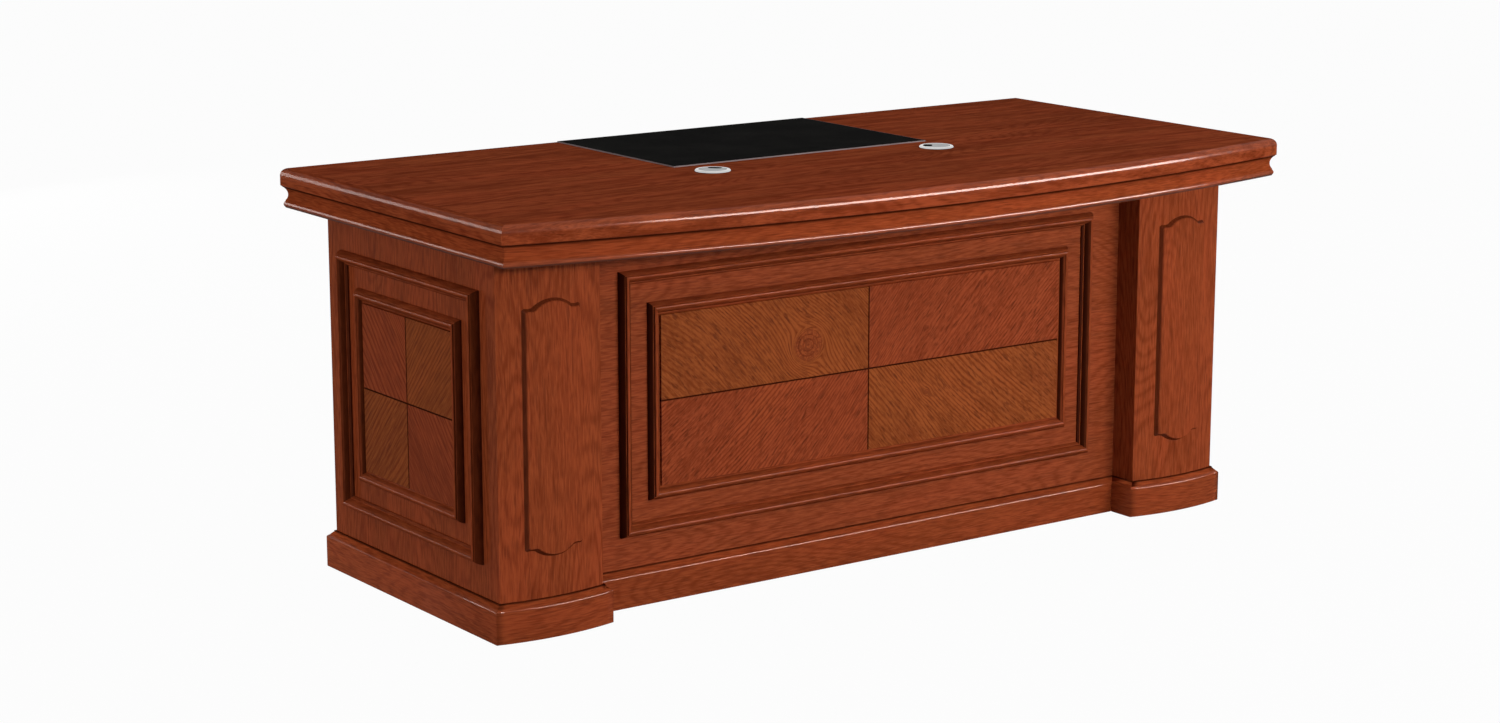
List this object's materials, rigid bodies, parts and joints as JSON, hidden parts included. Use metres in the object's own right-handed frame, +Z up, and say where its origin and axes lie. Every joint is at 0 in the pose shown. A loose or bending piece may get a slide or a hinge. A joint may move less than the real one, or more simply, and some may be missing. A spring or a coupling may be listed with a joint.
{
  "type": "executive desk",
  "caption": "Bow-front executive desk with panelled modesty front, pilastered pedestals, drawers, cupboard, leather writing pad and cable grommets",
  "frame": {"origin": "on the floor, under the middle of the top's outline", "axes": "+X along the desk's length, +Y towards the user, +Z up; the visitor's side is -Y"},
  "size_m": [1.8, 0.8998, 0.764],
  "materials": {
    "red_brown_veneer": "semi-gloss lacquered veneer",
    "quarter_veneer": "semi-gloss lacquered veneer, set in quarters",
    "moulding_wood": "semi-gloss lacquered solid wood",
    "drawer_lining": "clear satin lacquer",
    "pad_leather": "fine grained, low sheen",
    "grommet_chrome": "polished",
    "pull_nickel": "satin nickel",
    "hinge_brass": "satin",
    "slide_steel": "zinc plated"
  },
  "bodies": {
    "desk": {"cupboard_shelf": "red_brown_veneer", "desktop_battens": "red_brown_veneer", "desktop_board": "red_brown_veneer", "edge_moulding_ends": "moulding_wood", "edge_moulding_front": "moulding_wood", "edge_moulding_rear": "moulding_wood", "grommet_sleeves": "grommet_chrome", "hinge_frame_leaves": "hinge_brass", "hinge_pins": "hinge_brass", "left_bottom_board": "red_brown_veneer", "left_cartouche": "red_brown_veneer", "left_inner_panel": "red_brown_veneer", "left_pilaster": "red_brown_veneer", "left_pilaster_return": "red_brown_veneer", "left_plinth": "red_brown_veneer", "left_side_inner_moulding": "moulding_wood", "left_side_outer_moulding": "moulding_wood", "left_side_panel": "red_brown_veneer", "left_side_quarter_boards": "quarter_veneer", "left_top_board": "red_brown_veneer", "modesty_inner_moulding": "moulding_wood", "modesty_outer_moulding": "moulding_wood", "modesty_panel": "red_brown_veneer", "modesty_plinth": "red_brown_veneer", "modesty_quarter_boards": "quarter_veneer", "right_bottom_board": "red_brown_veneer", "right_cartouche": "red_brown_veneer", "right_inner_panel": "red_brown_veneer", "right_pilaster": "red_brown_veneer", "right_pilaster_return": "red_brown_veneer", "right_plinth": "red_brown_veneer", "right_side_inner_moulding": "moulding_wood", "right_side_outer_moulding": "moulding_wood", "right_side_panel": "red_brown_veneer", "right_side_quarter_boards": "quarter_veneer", "right_top_board": "red_brown_veneer", "shelf_cleats": "red_brown_veneer", "slide_channels": "slide_steel", "writing_pad": "pad_leather"},
    "top_drawer": {"top_drawer_front": "red_brown_veneer", "top_drawer_box": "drawer_lining", "top_drawer_slide_bars": "slide_steel", "top_drawer_pull": "pull_nickel"},
    "middle_drawer": {"middle_drawer_front": "red_brown_veneer", "middle_drawer_box": "drawer_lining", "middle_drawer_slide_bars": "slide_steel", "middle_drawer_pull": "pull_nickel"},
    "bottom_drawer": {"bottom_drawer_front": "red_brown_veneer", "bottom_drawer_box": "drawer_lining", "bottom_drawer_slide_bars": "slide_steel", "bottom_drawer_pull": "pull_nickel"},
    "centre_drawer": {"centre_drawer_front": "red_brown_veneer", "centre_drawer_box": "drawer_lining", "centre_drawer_slide_bars": "slide_steel", "centre_drawer_pull": "pull_nickel"},
    "door": {"cupboard_door": "red_brown_veneer", "door_pull": "pull_nickel", "hinge_door_leaves": "hinge_brass"},
    "left_cap": {"left_grommet_cap": "grommet_chrome"},
    "right_cap": {"right_grommet_cap": "grommet_chrome"}
  },
  "joints": [
    {"name": "top_drawer_slide", "type": "slide", "parent": "desk", "child": "top_drawer", "axis": [0, 1, 0], "range_m": [0, 0.33]},
    {"name": "middle_drawer_slide", "type": "slide", "parent": "desk", "child": "middle_drawer", "axis": [0, 1, 0], "range_m": [0, 0.33]},
    {"name": "bottom_drawer_slide", "type": "slide", "parent": "desk", "child": "bottom_drawer", "axis": [0, 1, 0], "range_m": [0, 0.33]},
    {"name": "centre_drawer_slide", "type": "slide", "parent": "desk", "child": "centre_drawer", "axis": [0, 1, 0], "range_m": [0, 0.28]},
    {"name": "door_swing", "type": "hinge", "parent": "desk", "child": "door", "pos_m": [0.829, 0.3646, 0.378], "axis": [0, 0, -1], "range_deg": [0, 110]},
    {"name": "left_cap_turn", "type": "hinge", "parent": "desk", "child": "left_cap", "pos_m": [-0.266, -0.055, 0.762], "axis": [0, 0, 1], "continuous": true},
    {"name": "right_cap_turn", "type": "hinge", "parent": "desk", "child": "right_cap", "pos_m": [0.266, -0.055, 0.762], "axis": [0, 0, 1], "continuous": true}
  ]
}
